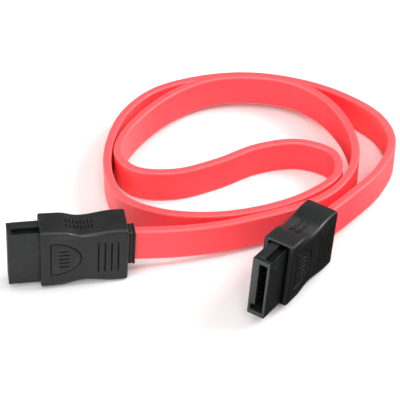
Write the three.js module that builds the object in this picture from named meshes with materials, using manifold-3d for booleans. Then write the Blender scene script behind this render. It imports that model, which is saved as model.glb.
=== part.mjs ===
import * as THREE from 'three';
import { mergeVertices } from 'three/addons/utils/BufferGeometryUtils.js';
import Module from 'manifold-3d';

// A serial data cable: a flat red ribbon that stands on its edge in a loose double spiral, with a black
// moulded plug at each end. Millimetres, +Z up. The origin is on the floor, midway between the plugs.
// Each plug has its own frame: origin where the ribbon leaves it, +X to the nose, Y its thickness.

// General fits
const FIT = 0.3; // clearance between pieces that are pushed or moulded together
const PAST = 1; // how far a cutter runs past the face it opens

// Ribbon
const RIBBON_WIDTH = 8.5;
const RIBBON_THICKNESS = 2;
const RIBBON_CORNER = 0.6;
const RIBBON_STEPS = 80;
const RIBBON_INSIDE = 6.2; // length held inside each plug

// Contacts
const CONTACTS = 7;
const CONTACT_PITCH = 1.27;
const CONTACT_WIDTH = 0.5;
const CONTACT_THICKNESS = 0.2;
const CONTACT_TIP_RIM = 1.4; // tip to the nose's front face
const CONTACT_RISE = 0.35; // how far the bend stands into the slot
const CONTACT_HOOK = 1.2; // length from the bend's crest to the tip
const CONTACT_DIP = 0.5; // how far the tip dives back toward its channel
const CHANNEL_WIDTH = 0.9;
const CHANNEL_FLOOR = 0.5; // wall left under the channels
const CHANNEL_RIM = 1; // wall left in front of the channels

// Housing: the insulating nose with its L-shaped slot
const SLOT_WIDTH = 2;
const SLOT_THIN_WALL = 0.55;
const SLOT_THICK_WALL = 1.65;
const SLOT_DEPTH = 6.6;
const SLOT_TOP_WALL = 1.3;
const SLOT_BOTTOM_WALL = 1.05;
const SLOT_FOOT_HEIGHT = 1.7;
const SLOT_FOOT_REACH = 1.1;
const NOSE_LENGTH = 7;
const NOSE_WIDTH = 15;
const NOSE_THICKNESS = SLOT_THIN_WALL + SLOT_WIDTH + SLOT_THICK_WALL;
const NOSE_EDGE = 0.2;
const NOSE_INSIDE = 4; // length of the full-width block inside the hood
const TAIL_SIDE_WALL = 1.04; // beside the outer channels, in the narrower block behind
const TAIL_WIDTH = (CONTACTS - 1) * CONTACT_PITCH + CHANNEL_WIDTH + 2 * TAIL_SIDE_WALL;
const KEY_GROOVE_WIDTH = 1.55; // groove beside the keying rib on the upper narrow side
const KEY_GROOVE_FLOOR = 0.3; // wall left between the groove and the slot
const KEY_GROOVE_SIDE_WALL = 0.25;
const KEY_RIM = 0.95; // the rib and its groove end this far behind the front face
const LEDGE_WIDTH = 0.35; // lower strip on the rib's other side
const LEDGE_DEPTH = 0.35; // of that strip, of the front rim and of the groove's outer wall

// Inner mould: grips the ribbon, and its rear end shows as the collar
const COLLAR_LENGTH = 1.9;
const COLLAR_WALL_ABOVE = 0.3;
const COLLAR_WALL_BESIDE = 0.6;
const COLLAR_WIDTH = RIBBON_WIDTH + 2 * (FIT + COLLAR_WALL_ABOVE);
const COLLAR_THICKNESS = RIBBON_THICKNESS + 2 * (FIT + COLLAR_WALL_BESIDE);
const COLLAR_LIP = 0.15; // the collar's rear rim stands out this far all round
const COLLAR_LIP_LENGTH = 0.7;
const FLANGE_LENGTH = 2.4;
const FLANGE_LIP_ABOVE = 0.8;
const FLANGE_LIP_BESIDE = 0.4;
const FLANGE_WIDTH = COLLAR_WIDTH + 2 * FLANGE_LIP_ABOVE;
const FLANGE_THICKNESS = COLLAR_THICKNESS + 2 * FLANGE_LIP_BESIDE;
const JOINT_ROOM_LENGTH = 3.7; // hollow where the conductors meet the contacts
const JOINT_ROOM_WALL = 0.5;

// Conductors
const CONDUCTOR_DIAMETER = 0.4;
const CONDUCTOR_PITCH = 1.05; // in the ribbon, closer than the contacts
const CONDUCTOR_END_GAP = 0.6; // wire end to the housing's rear face
const TAIL_END_GAP = 1; // contact's tail end to the ribbon's cut end
const SOLDER_GAP = 0.1;

// Hood: the outer moulding that is gripped
const HOOD_LENGTH = 19.35;
const HOOD_FRONT_WALL_ABOVE = 0.4;
const HOOD_FRONT_WALL_BESIDE = 1.35;
const HOOD_WAIST_WALL = 1.2;
const HOOD_REAR_WALL_ABOVE = 1.4;
const HOOD_REAR_WALL_BESIDE = 1.45;
const HOOD_BACK_WALL = 1.2; // the end wall that the flange bears on
const HOOD_WIDTH_FRONT = NOSE_WIDTH + 2 * (FIT + HOOD_FRONT_WALL_ABOVE);
const HOOD_WIDTH_WAIST = TAIL_WIDTH + 2 * (FIT + HOOD_WAIST_WALL);
const HOOD_WIDTH_REAR = FLANGE_WIDTH + 2 * (FIT + HOOD_REAR_WALL_ABOVE);
const HOOD_THICKNESS_FRONT = NOSE_THICKNESS + 2 * (FIT + HOOD_FRONT_WALL_BESIDE);
const HOOD_THICKNESS_REAR = FLANGE_THICKNESS + 2 * (FIT + HOOD_REAR_WALL_BESIDE);
const HOOD_EDGE = 0.6;
const WAIST_FROM_FRONT = 9.4;
const WAIST_FRONT_BEND = 4; // straight stretch behind the front face
const WAIST_REAR_BEND = 2.8; // straight stretch before the rear face
const GRIP_GROOVES = 4;
const GRIP_PITCH = 1.47;
const GRIP_FIRST = 2.2; // first groove from the hood's rear face
const GRIP_LENGTH = 8.6;
const GROOVE_WIDTH = 0.4;
const GROOVE_DEPTH = 0.35;
const PANEL_FROM_FRONT = 2.25; // straight side of the D-shaped outline
const PANEL_LENGTH = 6.7;
const PANEL_HEIGHT = 9.2;
const GRIP_RISE = 0.1; // the grooves' middle above the hood's middle line
const PANEL_RISE = 0.35;

// Where the plugs lie on the floor
const LEFT_PLUG = { x: -14.72, y: -22.92, yaw: 190.4, noseLift: 0.8 };
const RIGHT_PLUG = { x: 27.89, y: -17.4, yaw: 236.5, noseLift: 5.1 };

// The ribbon's way from the left plug to the right one, along the middle of its section
const ROUTE = [
  [-4.3, -21.2, 6.2], [8, -17.9, 5.4], [28, -9.3, 5.1], [34.5, -1.8, 5.15], [37.2, 7, 5.4],
  [35.9, 17.1, 5.85], [31, 27.2, 6], [23.2, 34.2, 5.85], [13, 36.9, 5.6], [3.2, 36, 5.6],
  [-5, 31.7, 5.4], [-12.7, 24, 5.1], [-18.55, 14.6, 4.5], [-19.6, 7.3, 4.3], [-15.3, 1.8, 4.28],
  [-6, 0.85, 4.28], [4, 4.6, 4.28], [14, 10.3, 4.28], [24, 12.05, 4.28], [31.9, 8, 4.28],
  [32.5, 0.5, 4.28], [25.6, -6.7, 4.28], [15.5, -11.8, 4.28], [3, -14.4, 4.28], [-9.5, -13.1, 4.28],
  [-18, -8.2, 4.28], [-21.65, 0.9, 4.28], [-21.9, 11.4, 4.28], [-18.65, 23.5, 4.28], [-11.6, 32.6, 4.28],
  [-0.5, 37.75, 4.28], [12, 39.4, 4.28], [25, 36.65, 4.28], [35.9, 30.8, 4.28], [44.2, 22.2, 4.3],
  [46.45, 12.4, 4.55], [42.3, 1.1, 5.1], [35.2, -8.5, 5.9],
];

const COLOURS = {
  ribbon: new THREE.MeshStandardMaterial({ color: 0xf4494d, roughness: 0.45, metalness: 0 }),
  hood: new THREE.MeshStandardMaterial({ color: 0x35373a, roughness: 0.55, metalness: 0 }),
  relief: new THREE.MeshStandardMaterial({ color: 0x2d2f32, roughness: 0.6, metalness: 0 }),
  housing: new THREE.MeshStandardMaterial({ color: 0x3a3b3c, roughness: 0.5, metalness: 0 }),
  contact: new THREE.MeshStandardMaterial({ color: 0xc9a24e, roughness: 0.3, metalness: 1 }),
  conductor: new THREE.MeshStandardMaterial({ color: 0xc8c4be, roughness: 0.35, metalness: 1 }),
};

// Places along a plug, measured from where the ribbon leaves it
const hoodRear = COLLAR_LENGTH;
const hoodFront = hoodRear + HOOD_LENGTH;
const noseFront = hoodFront + NOSE_LENGTH;
const noseRear = hoodFront - NOSE_INSIDE;
const flangeRear = hoodRear + HOOD_BACK_WALL + FIT;
const flangeFront = flangeRear + FLANGE_LENGTH;
const jointRoomRear = RIBBON_INSIDE + FIT;
const reliefFront = jointRoomRear + JOINT_ROOM_LENGTH;
const housingRear = reliefFront + FIT;
const slotRear = noseFront - SLOT_DEPTH;
const slotNear = NOSE_THICKNESS / 2 - SLOT_THIN_WALL;
const slotFar = -NOSE_THICKNESS / 2 + SLOT_THICK_WALL;
const slotBottom = -NOSE_WIDTH / 2 + SLOT_BOTTOM_WALL;
const slotTop = NOSE_WIDTH / 2 - SLOT_TOP_WALL;
const channelBottom = -NOSE_THICKNESS / 2 + CHANNEL_FLOOR;
const tailHeight = channelBottom + FIT / 2 + CONTACT_THICKNESS / 2;
const hoodTaper = Math.atan2((HOOD_WIDTH_FRONT - HOOD_WIDTH_REAR) / 2, HOOD_LENGTH);

const wasm = await Module();
wasm.setup();

function toSolid(geometry) {
  const bare = geometry.clone();
  bare.deleteAttribute('normal');
  bare.deleteAttribute('uv');
  const merged = mergeVertices(bare, 1e-5);
  const mesh = new wasm.Mesh({
    numProp: 3,
    vertProperties: new Float32Array(merged.attributes.position.array),
    triVerts: new Uint32Array(merged.index.array),
  });
  mesh.merge();
  return new wasm.Manifold(mesh);
}

function toGeometry(solid) {
  const mesh = solid.getMesh();
  const geometry = new THREE.BufferGeometry();
  geometry.setAttribute('position', new THREE.BufferAttribute(mesh.vertProperties, 3));
  geometry.setIndex(new THREE.BufferAttribute(mesh.triVerts, 1));
  geometry.computeVertexNormals();
  return geometry;
}

// A box given by its lowest and highest values on each axis
function block(x0, x1, y0, y1, z0, z1) {
  const geometry = new THREE.BoxGeometry(x1 - x0, y1 - y0, z1 - z0);
  return geometry.translate((x0 + x1) / 2, (y0 + y1) / 2, (z0 + z1) / 2);
}

// A box about the plug's axis, given by its length range, thickness and width
function centred(x0, x1, thickness, width) {
  return block(x0, x1, -thickness / 2, thickness / 2, -width / 2, width / 2);
}

// A box about the plug's axis with its edges rounded along the whole length
function roundedBlock(x0, x1, thickness, width, edge) {
  const h = width / 2;
  const t = thickness / 2;
  const section = new THREE.Shape();
  section.moveTo(-h + edge, -t);
  section.lineTo(h - edge, -t);
  section.absarc(h - edge, -t + edge, edge, -Math.PI / 2, 0);
  section.absarc(h - edge, t - edge, edge, 0, Math.PI / 2);
  section.absarc(-h + edge, t - edge, edge, Math.PI / 2, Math.PI);
  section.absarc(-h + edge, -t + edge, edge, Math.PI, 1.5 * Math.PI);
  const options = { depth: x1 - x0, bevelEnabled: false, curveSegments: 3 };
  const geometry = new THREE.ExtrudeGeometry(section, options);
  return geometry.rotateY(Math.PI / 2).translate(x0, 0, 0);
}

// Turns a shape drawn as length and height into a slab that lies across the thickness from y0 to y1
function slab(shape, y0, y1, bevel) {
  const options = {
    depth: y1 - y0 - 2 * bevel,
    curveSegments: 10,
    bevelEnabled: bevel > 0,
    bevelThickness: bevel,
    bevelSize: bevel,
    bevelOffset: -bevel,
    bevelSegments: 3,
  };
  return new THREE.ExtrudeGeometry(shape, options).rotateX(Math.PI / 2).translate(0, y1 - bevel, 0);
}

// Thins a shape toward the hood's front, as the hood itself is thinned
function taper(geometry) {
  const position = geometry.attributes.position;
  const thin = HOOD_THICKNESS_FRONT / HOOD_THICKNESS_REAR;
  for (let i = 0; i < position.count; i += 1) {
    const along = (position.getX(i) - hoodRear) / HOOD_LENGTH;
    position.setY(i, position.getY(i) * THREE.MathUtils.lerp(1, thin, along));
  }
  return geometry;
}

function hoodOutline() {
  const rear = HOOD_WIDTH_REAR / 2;
  const waist = HOOD_WIDTH_WAIST / 2;
  const front = HOOD_WIDTH_FRONT / 2;
  const waistX = hoodFront - WAIST_FROM_FRONT;
  const rise = (x) => front + ((rear - front) * (hoodFront - x)) / HOOD_LENGTH;
  const frontBend = hoodFront - WAIST_FRONT_BEND;
  const rearBend = hoodRear + WAIST_REAR_BEND;
  const ease = (waistX - rearBend) * 0.4;
  const frontEase = (frontBend - waistX) * 0.4;
  const outline = new THREE.Shape();
  outline.moveTo(hoodRear, -rear);
  outline.lineTo(rearBend, -rise(rearBend));
  outline.bezierCurveTo(rearBend + ease, -rise(rearBend), waistX - ease, -waist, waistX, -waist);
  outline.bezierCurveTo(waistX + frontEase, -waist, frontBend - frontEase, -rise(frontBend),
    frontBend, -rise(frontBend));
  outline.lineTo(hoodFront, -front);
  outline.lineTo(hoodFront, front);
  outline.lineTo(frontBend, rise(frontBend));
  outline.bezierCurveTo(frontBend - frontEase, rise(frontBend), waistX + frontEase, waist, waistX, waist);
  outline.bezierCurveTo(waistX - ease, waist, rearBend + ease, rise(rearBend), rearBend, rise(rearBend));
  outline.lineTo(hoodRear, rear);
  outline.closePath();
  return outline;
}

// The D-shaped outline pressed into each broad face
function panelRing() {
  const straight = hoodFront - PANEL_FROM_FRONT;
  const ring = new THREE.Shape();
  ring.absellipse(straight, PANEL_RISE, PANEL_LENGTH, PANEL_HEIGHT / 2, Math.PI / 2, 1.5 * Math.PI);
  ring.closePath();
  const inner = new THREE.Path();
  const length = PANEL_LENGTH - 2 * GROOVE_WIDTH;
  const height = PANEL_HEIGHT / 2 - GROOVE_WIDTH;
  inner.absellipse(straight - GROOVE_WIDTH, PANEL_RISE, length, height, Math.PI / 2, 1.5 * Math.PI);
  inner.closePath();
  ring.holes.push(inner);
  return ring;
}

function hoodGeometry() {
  const half = HOOD_THICKNESS_REAR / 2;
  let solid = toSolid(taper(slab(hoodOutline(), -half, half, HOOD_EDGE)));
  const cuts = [
    centred(hoodRear - PAST, flangeRear, COLLAR_THICKNESS + 2 * FIT, COLLAR_WIDTH + 2 * FIT),
    centred(flangeRear - FIT, flangeFront + FIT, FLANGE_THICKNESS + 2 * FIT, FLANGE_WIDTH + 2 * FIT),
    centred(flangeFront, noseRear, NOSE_THICKNESS + 2 * FIT, TAIL_WIDTH + 2 * FIT),
    centred(noseRear - FIT, hoodFront + PAST, NOSE_THICKNESS + 2 * FIT, NOSE_WIDTH + 2 * FIT),
  ];
  for (const side of [-1, 1]) {
    const floor = side * (half - GROOVE_DEPTH);
    const beyond = side * (half + PAST);
    const low = Math.min(floor, beyond);
    const high = Math.max(floor, beyond);
    for (let i = 0; i < GRIP_GROOVES; i += 1) {
      const x = hoodRear + GRIP_FIRST + i * GRIP_PITCH;
      const z0 = GRIP_RISE - GRIP_LENGTH / 2;
      cuts.push(taper(block(x - GROOVE_WIDTH / 2, x + GROOVE_WIDTH / 2, low, high, z0, z0 + GRIP_LENGTH)));
    }
    cuts.push(taper(slab(panelRing(), low, high, 0)));
  }
  for (const cut of cuts) solid = solid.subtract(toSolid(cut));
  return toGeometry(solid);
}

function reliefGeometry() {
  const collar = roundedBlock(0, flangeRear + FIT, COLLAR_THICKNESS, COLLAR_WIDTH, HOOD_EDGE);
  const lip = roundedBlock(0, COLLAR_LIP_LENGTH, COLLAR_THICKNESS + 2 * COLLAR_LIP,
    COLLAR_WIDTH + 2 * COLLAR_LIP, HOOD_EDGE);
  const flange = roundedBlock(flangeRear, flangeFront, FLANGE_THICKNESS, FLANGE_WIDTH, HOOD_EDGE);
  const body = roundedBlock(flangeFront - FIT, reliefFront, NOSE_THICKNESS, TAIL_WIDTH, NOSE_EDGE);
  const solid = toSolid(collar).add(toSolid(lip)).add(toSolid(flange)).add(toSolid(body));
  const way = centred(-PAST, jointRoomRear + FIT, RIBBON_THICKNESS + 2 * FIT, RIBBON_WIDTH + 2 * FIT);
  const roomThickness = NOSE_THICKNESS - 2 * JOINT_ROOM_WALL;
  const room = centred(jointRoomRear, reliefFront + PAST, roomThickness, TAIL_WIDTH - 2 * JOINT_ROOM_WALL);
  return toGeometry(solid.subtract(toSolid(way)).subtract(toSolid(room)));
}

function contactHeight(index) {
  return (index - (CONTACTS - 1) / 2) * CONTACT_PITCH;
}

function housingGeometry() {
  const top = NOSE_WIDTH / 2;
  const side = NOSE_THICKNESS / 2;
  const nose = roundedBlock(noseRear, noseFront, NOSE_THICKNESS, NOSE_WIDTH, NOSE_EDGE);
  const tail = roundedBlock(housingRear, noseRear + FIT, NOSE_THICKNESS, TAIL_WIDTH, NOSE_EDGE);
  let solid = toSolid(nose).add(toSolid(tail));
  const grooveNear = side - KEY_GROOVE_SIDE_WALL;
  const ledgeTop = top - LEDGE_DEPTH;
  const cuts = [
    block(slotRear, noseFront + PAST, slotFar, slotNear, slotBottom, slotTop),
    block(slotRear, noseFront + PAST, slotFar - SLOT_FOOT_REACH, slotNear,
      slotBottom, slotBottom + SLOT_FOOT_HEIGHT),
    block(noseRear - PAST, noseFront - KEY_RIM, grooveNear - KEY_GROOVE_WIDTH, grooveNear,
      slotTop + KEY_GROOVE_FLOOR, top + PAST),
    block(noseRear - PAST, noseFront + PAST, -side - PAST, -side + LEDGE_WIDTH, ledgeTop, top + PAST),
    block(noseFront - KEY_RIM, noseFront + PAST, -side - PAST, side + PAST, ledgeTop, top + PAST),
    block(noseRear - PAST, noseFront + PAST, grooveNear - KEY_GROOVE_WIDTH, side + PAST,
      ledgeTop, top + PAST),
  ];
  for (let i = 0; i < CONTACTS; i += 1) {
    const z0 = contactHeight(i) - CHANNEL_WIDTH / 2;
    cuts.push(block(housingRear - PAST, noseFront - CHANNEL_RIM, channelBottom, slotFar + FIT,
      z0, z0 + CHANNEL_WIDTH));
  }
  for (const cut of cuts) solid = solid.subtract(toSolid(cut));
  return toGeometry(solid);
}

// A spring strip: a flat tail that runs forward in its channel, then a bend that stands into the slot
function contactGeometry() {
  const tip = noseFront - CONTACT_TIP_RIM;
  const crest = slotFar + CONTACT_RISE - CONTACT_THICKNESS / 2;
  const way = new THREE.CatmullRomCurve3([
    new THREE.Vector3(jointRoomRear + TAIL_END_GAP, tailHeight, 0),
    new THREE.Vector3((housingRear + slotRear) / 2, tailHeight, 0),
    new THREE.Vector3(slotRear, tailHeight, 0),
    new THREE.Vector3((slotRear + tip) / 2, (tailHeight + crest) / 2, 0),
    new THREE.Vector3(tip - CONTACT_HOOK, crest, 0),
    new THREE.Vector3(tip, crest - CONTACT_DIP, 0),
  ]);
  const section = new THREE.Shape();
  section.moveTo(-CONTACT_WIDTH / 2, -CONTACT_THICKNESS / 2);
  section.lineTo(CONTACT_WIDTH / 2, -CONTACT_THICKNESS / 2);
  section.lineTo(CONTACT_WIDTH / 2, CONTACT_THICKNESS / 2);
  section.lineTo(-CONTACT_WIDTH / 2, CONTACT_THICKNESS / 2);
  section.closePath();
  return new THREE.ExtrudeGeometry(section, { steps: 16, extrudePath: way, bevelEnabled: false });
}

// A bare wire end that runs from the ribbon's cut end onto its contact's tail
function conductorGeometry(index) {
  const spread = (index - (CONTACTS - 1) / 2) * CONDUCTOR_PITCH;
  const height = contactHeight(index);
  const above = tailHeight + (CONTACT_THICKNESS + CONDUCTOR_DIAMETER) / 2 + SOLDER_GAP;
  const start = jointRoomRear;
  const end = housingRear - CONDUCTOR_END_GAP;
  const way = new THREE.CatmullRomCurve3([
    new THREE.Vector3(start, 0, spread),
    new THREE.Vector3(THREE.MathUtils.lerp(start, end, 0.3), above * 0.8, (spread + height) / 2),
    new THREE.Vector3(THREE.MathUtils.lerp(start, end, 0.5), above, height),
    new THREE.Vector3(end, above, height),
  ]);
  const section = new THREE.Shape();
  section.absarc(0, 0, CONDUCTOR_DIAMETER / 2, 0, 2 * Math.PI);
  return new THREE.ExtrudeGeometry(section, {
    steps: 8, extrudePath: way, bevelEnabled: false, curveSegments: 4,
  });
}

function plugPart(name, geometry, material) {
  const mesh = new THREE.Mesh(geometry, material);
  mesh.name = name;
  return mesh;
}

// A whole plug, laid with its hood's tapered edge on the floor and its nose lifted by the given angle
function plug(side, place) {
  const lift = hoodTaper + THREE.MathUtils.degToRad(place.noseLift);
  const group = new THREE.Group();
  group.add(
    plugPart(`${side}_hood`, hoodGeometry(), COLOURS.hood),
    plugPart(`${side}_strain_relief`, reliefGeometry(), COLOURS.relief),
    plugPart(`${side}_housing`, housingGeometry(), COLOURS.housing),
  );
  for (let i = 0; i < CONTACTS; i += 1) {
    const contact = plugPart(`${side}_contact_${i + 1}`, contactGeometry(), COLOURS.contact);
    contact.position.z = contactHeight(i);
    group.add(contact, plugPart(`${side}_conductor_${i + 1}`, conductorGeometry(i), COLOURS.conductor));
  }
  const rearCorner = (HOOD_WIDTH_REAR / 2) * Math.cos(lift) - hoodRear * Math.sin(lift);
  group.position.set(place.x, place.y, rearCorner);
  group.rotation.set(0, -lift, THREE.MathUtils.degToRad(place.yaw), 'ZYX');
  group.updateMatrixWorld(true);
  return group;
}

// A curve whose sections stay upright, so that the ribbon never rolls off its edge
class UprightCurve extends THREE.CatmullRomCurve3 {
  computeFrenetFrames(segments) {
    const up = new THREE.Vector3(0, 0, 1);
    const frames = { tangents: [], normals: [], binormals: [] };
    for (let i = 0; i <= segments; i += 1) {
      const tangent = this.getTangentAt(i / segments);
      const normal = up.clone().addScaledVector(tangent, -up.dot(tangent)).normalize();
      frames.tangents.push(tangent);
      frames.normals.push(normal);
      frames.binormals.push(tangent.clone().cross(normal));
    }
    return frames;
  }
}

function ribbon(from, to) {
  const axisPoint = (group, x) => group.localToWorld(new THREE.Vector3(x, 0, 0));
  const way = new UprightCurve([
    axisPoint(from, RIBBON_INSIDE), axisPoint(from, 0),
    ...ROUTE.map((point) => new THREE.Vector3(...point)),
    axisPoint(to, 0), axisPoint(to, RIBBON_INSIDE),
  ], false, 'centripetal');
  const h = RIBBON_WIDTH / 2;
  const t = RIBBON_THICKNESS / 2;
  const section = new THREE.Shape();
  section.moveTo(-h + RIBBON_CORNER, -t);
  section.lineTo(h - RIBBON_CORNER, -t);
  section.absarc(h - RIBBON_CORNER, -t + RIBBON_CORNER, RIBBON_CORNER, -Math.PI / 2, 0);
  section.absarc(h - RIBBON_CORNER, t - RIBBON_CORNER, RIBBON_CORNER, 0, Math.PI / 2);
  section.absarc(-h + RIBBON_CORNER, t - RIBBON_CORNER, RIBBON_CORNER, Math.PI / 2, Math.PI);
  section.absarc(-h + RIBBON_CORNER, -t + RIBBON_CORNER, RIBBON_CORNER, Math.PI, 1.5 * Math.PI);
  const geometry = new THREE.ExtrudeGeometry(section, {
    steps: RIBBON_STEPS, extrudePath: way, bevelEnabled: false, curveSegments: 1,
  });
  return plugPart('flat_cable', geometry, COLOURS.ribbon);
}

const leftPlug = plug('left', LEFT_PLUG);
const rightPlug = plug('right', RIGHT_PLUG);
const plugs = new THREE.Group();
plugs.add(leftPlug, rightPlug);
const middle = new THREE.Box3().setFromObject(plugs, true).getCenter(new THREE.Vector3());
const cable = new THREE.Group();
cable.add(ribbon(leftPlug, rightPlug), plugs);
cable.position.set(-middle.x, -middle.y, 0);

export default cable;
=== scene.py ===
import math

import bmesh
import bpy
from mathutils import Matrix, Vector


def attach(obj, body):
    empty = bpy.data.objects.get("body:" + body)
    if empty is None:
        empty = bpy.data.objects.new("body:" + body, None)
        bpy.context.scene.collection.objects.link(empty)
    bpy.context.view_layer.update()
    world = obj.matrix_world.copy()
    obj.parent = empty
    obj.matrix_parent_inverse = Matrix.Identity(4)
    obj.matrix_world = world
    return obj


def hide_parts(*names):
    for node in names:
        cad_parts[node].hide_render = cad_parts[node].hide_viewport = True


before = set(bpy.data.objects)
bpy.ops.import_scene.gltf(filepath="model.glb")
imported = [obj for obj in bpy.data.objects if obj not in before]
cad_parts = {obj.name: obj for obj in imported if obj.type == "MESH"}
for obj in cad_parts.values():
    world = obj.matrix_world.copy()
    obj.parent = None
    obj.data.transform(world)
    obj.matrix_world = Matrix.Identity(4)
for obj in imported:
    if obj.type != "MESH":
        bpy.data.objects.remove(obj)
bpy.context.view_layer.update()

bl_info = {
    "name": "Flat Data Cable",
    "version": (1, 0, 0),
    "blender": (4, 5, 0),
    "location": "3D View > Sidebar > Data Cable",
    "description": "A flat red data cable on its edge, with a moulded black plug at each end",
    "category": "Add Mesh",
}

MM = 0.001
SIDES = ("left", "right")

# Where the plugs lie, in millimetres and degrees, before the shift that puts the origin between them
LOOPS_TO_ORIGIN = Vector((6.3730, 29.2468, 0))
PLUG_PLACES = {
    "left": {"at": (-14.72, -22.92), "yaw": 190.4, "nose_lift": 0.8},
    "right": {"at": (27.89, -17.4), "yaw": 236.5, "nose_lift": 5.1},
}

# The ribbon's way from the left plug to the right one, as in the solids, in millimetres
ROUTE = [
    (-4.3, -21.2, 6.2), (8, -17.9, 5.4), (28, -9.3, 5.1), (34.5, -1.8, 5.15), (37.2, 7, 5.4),
    (35.9, 17.1, 5.85), (31, 27.2, 6), (23.2, 34.2, 5.85), (13, 36.9, 5.6), (3.2, 36, 5.6),
    (-5, 31.7, 5.4), (-12.7, 24, 5.1), (-18.55, 14.6, 4.5), (-19.6, 7.3, 4.3), (-15.3, 1.8, 4.28),
    (-6, 0.85, 4.28), (4, 4.6, 4.28), (14, 10.3, 4.28), (24, 12.05, 4.28), (31.9, 8, 4.28),
    (32.5, 0.5, 4.28), (25.6, -6.7, 4.28), (15.5, -11.8, 4.28), (3, -14.4, 4.28), (-9.5, -13.1, 4.28),
    (-18, -8.2, 4.28), (-21.65, 0.9, 4.28), (-21.9, 11.4, 4.28), (-18.65, 23.5, 4.28), (-11.6, 32.6, 4.28),
    (-0.5, 37.75, 4.28), (12, 39.4, 4.28), (25, 36.65, 4.28), (35.9, 30.8, 4.28), (44.2, 22.2, 4.3),
    (46.45, 12.4, 4.55), (42.3, 1.1, 5.1), (35.2, -8.5, 5.9),
]

# Plug sizes in millimetres. X runs along the plug from where the ribbon leaves it to its nose, Y through
# its thickness and Z up its height.
COLLAR_LENGTH = 1.9
HOOD_LENGTH = 19.35
HOOD_REAR = COLLAR_LENGTH
HOOD_FRONT = HOOD_REAR + HOOD_LENGTH
HOOD_WAIST = HOOD_FRONT - 9.4
HOOD_HALF_FRONT = 8.2
HOOD_HALF_WAIST = 6.8
HOOD_HALF_REAR = 7.35
HOOD_DEEP_FRONT = 3.75
HOOD_DEEP_REAR = 4.05
HOOD_FLAT_FRONT = 4  # the waist's curve starts this far behind the front
HOOD_FLAT_REAR = 2.8  # and ends this far ahead of the rear
WAIST_EASE = 0.4
NOSE_FRONT = 28.25
RIBBON_INSIDE = 3.0

# The hood's lower edge lies inside the solid's by this much at its two ends
LOWER_EDGE_REAR = 0.15
LOWER_EDGE_FRONT = 0.4

# The hood's inside, each room as half thickness, half height and corner radius
NOSE_MOUTH = (2.62, 7.66, 0.5)
NOSE_ROOM = (2.5, 7.6, 0.45)
BODY_ROOM = (2.4, 5.7, 0.4)
FLANGE_ROOM = (2.65, 5.9, 0.4)
REAR_MOUTH = (1.98, 5.0, 0.6)
MOUTH_BEVEL = 0.15
NOSE_ROOM_LENGTH = 4.3
FLANGE_ROOM_REAR = 1.2
FLANGE_ROOM_FRONT = 3.9

# The hood's marks: from its ends, and above its middle
GRIP_FIRST = 2.2
GRIP_RISE = 0.1
PANEL_FROM_FRONT = 2.25
PANEL_RISE = 0.35
BARS_FROM_FRONT = 5.2
TICKS_FROM_FRONT = 8.8
GROOVE_FLARE = 0.09
GROOVE_END = 0.45
OUTLINE_SHARE = 0.8  # the outline's width and depth, as a share of the grip grooves'
CUTTER_OUT = 0.5

# The collar's skin, each ring as its place along the plug, half thickness, half height and corner radius
COLLAR_RIM = ((0.0, 1.8, 4.62, 0.6), (0.08, 1.95, 4.78, 0.7), (0.25, 2.02, 4.86, 0.75),
              (0.45, 1.98, 4.82, 0.72))
COLLAR_VALLEY = ((0.6, 1.84, 4.66, 0.7), (0.78, 1.82, 4.64, 0.7))
COLLAR_RIB = ((0.92, 1.9, 4.72, 0.7), (1.18, 1.92, 4.74, 0.7))
COLLAR_SHANK = ((1.32, 1.83, 4.65, 0.7), (1.7, 1.86, 4.68, 0.7), (3.1, 1.88, 4.7, 0.7))
COLLAR_BORE = ((3.1, 1.04, 4.3, 0.55), (0.2, 1.04, 4.3, 0.55), (0.0, 1.12, 4.38, 0.6))

# Where the plastics are polished, painted paler as light or painted dark as shade, as (where it starts, where
# it is full) in millimetres
# The long edges at the waist: lower roughness, and painted paler as a highlight
LONG_EDGE_ACROSS = (2.9, 3.6)
LONG_EDGE_UP = (5.9, 6.6)
WAIST_EDGE_MIDDLE = HOOD_WAIST + 1.0
WAIST_EDGE_FADES = (2.0, 7.0)
# A patch on the right plug's top at the waist, made rougher and painted paler as a lit patch
TOP_PATCH_MIDDLE = HOOD_WAIST - 0.3
TOP_PATCH_FADES = (0.6, 3.2)
TOP_PATCH_UP = (6.2, 6.6)
TOP_PATCH_STRENGTH = {"left": 0.0, "right": 0.9}
TOP_PATCH_ROUGHENING = 2.2
# The front faces of hood and nose are painted paler, as faces that catch the light
HOOD_FRONT_FACE = (HOOD_FRONT - 0.1, HOOD_FRONT - 0.02)
HOOD_FRONT_PAINTED_LIGHT = 0.6
NOSE_FRONT_FACE = (NOSE_FRONT - 0.12, NOSE_FRONT - 0.02)
# The key groove inside the nose is painted dark as shade
KEY_GROOVE_UP = ((6.2, 6.5), (7.05, 7.3))
KEY_GROOVE_ACROSS = ((0.15, 0.3), (1.86, 1.98))
KEY_GROOVE_ENDS = (NOSE_FRONT - 1.1, NOSE_FRONT - 0.95)

# The jacket's rim, painted paler than its faces as light from above on the flat edges and as a painted
# highlight on the round corners, in shares of the ribbon's width from its middle
RIM_FADES = (0.41, 0.485)
CREST_FADES = (0.485, 0.5)
RIM_PAINTED_LIGHT = 0.85

# The jacket is painted paler as sheen where the loops turn at the far left and right: so far from their
# middle along X, in metres
BENDS_MIDDLE = 0.0185
BENDS_FADE = (0.021, 0.034)
BENDS_PAINTED_SHEEN = 0.75

# The floor's two whites, as it lights the cable and as the camera sees it, and its sizes in metres
FLOOR_WHITE = (0.90, 0.895, 0.885, 1)
FLOOR_SEEN = (0.85, 0.843, 0.836, 1)
FLOOR_HALF = 1.5
MIRRORED_FADES = (0.003, 0.019)  # the floor in the plastic's sheen darkens between these places along X
FAR_FLOOR = (0.12, 0.4)

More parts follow.
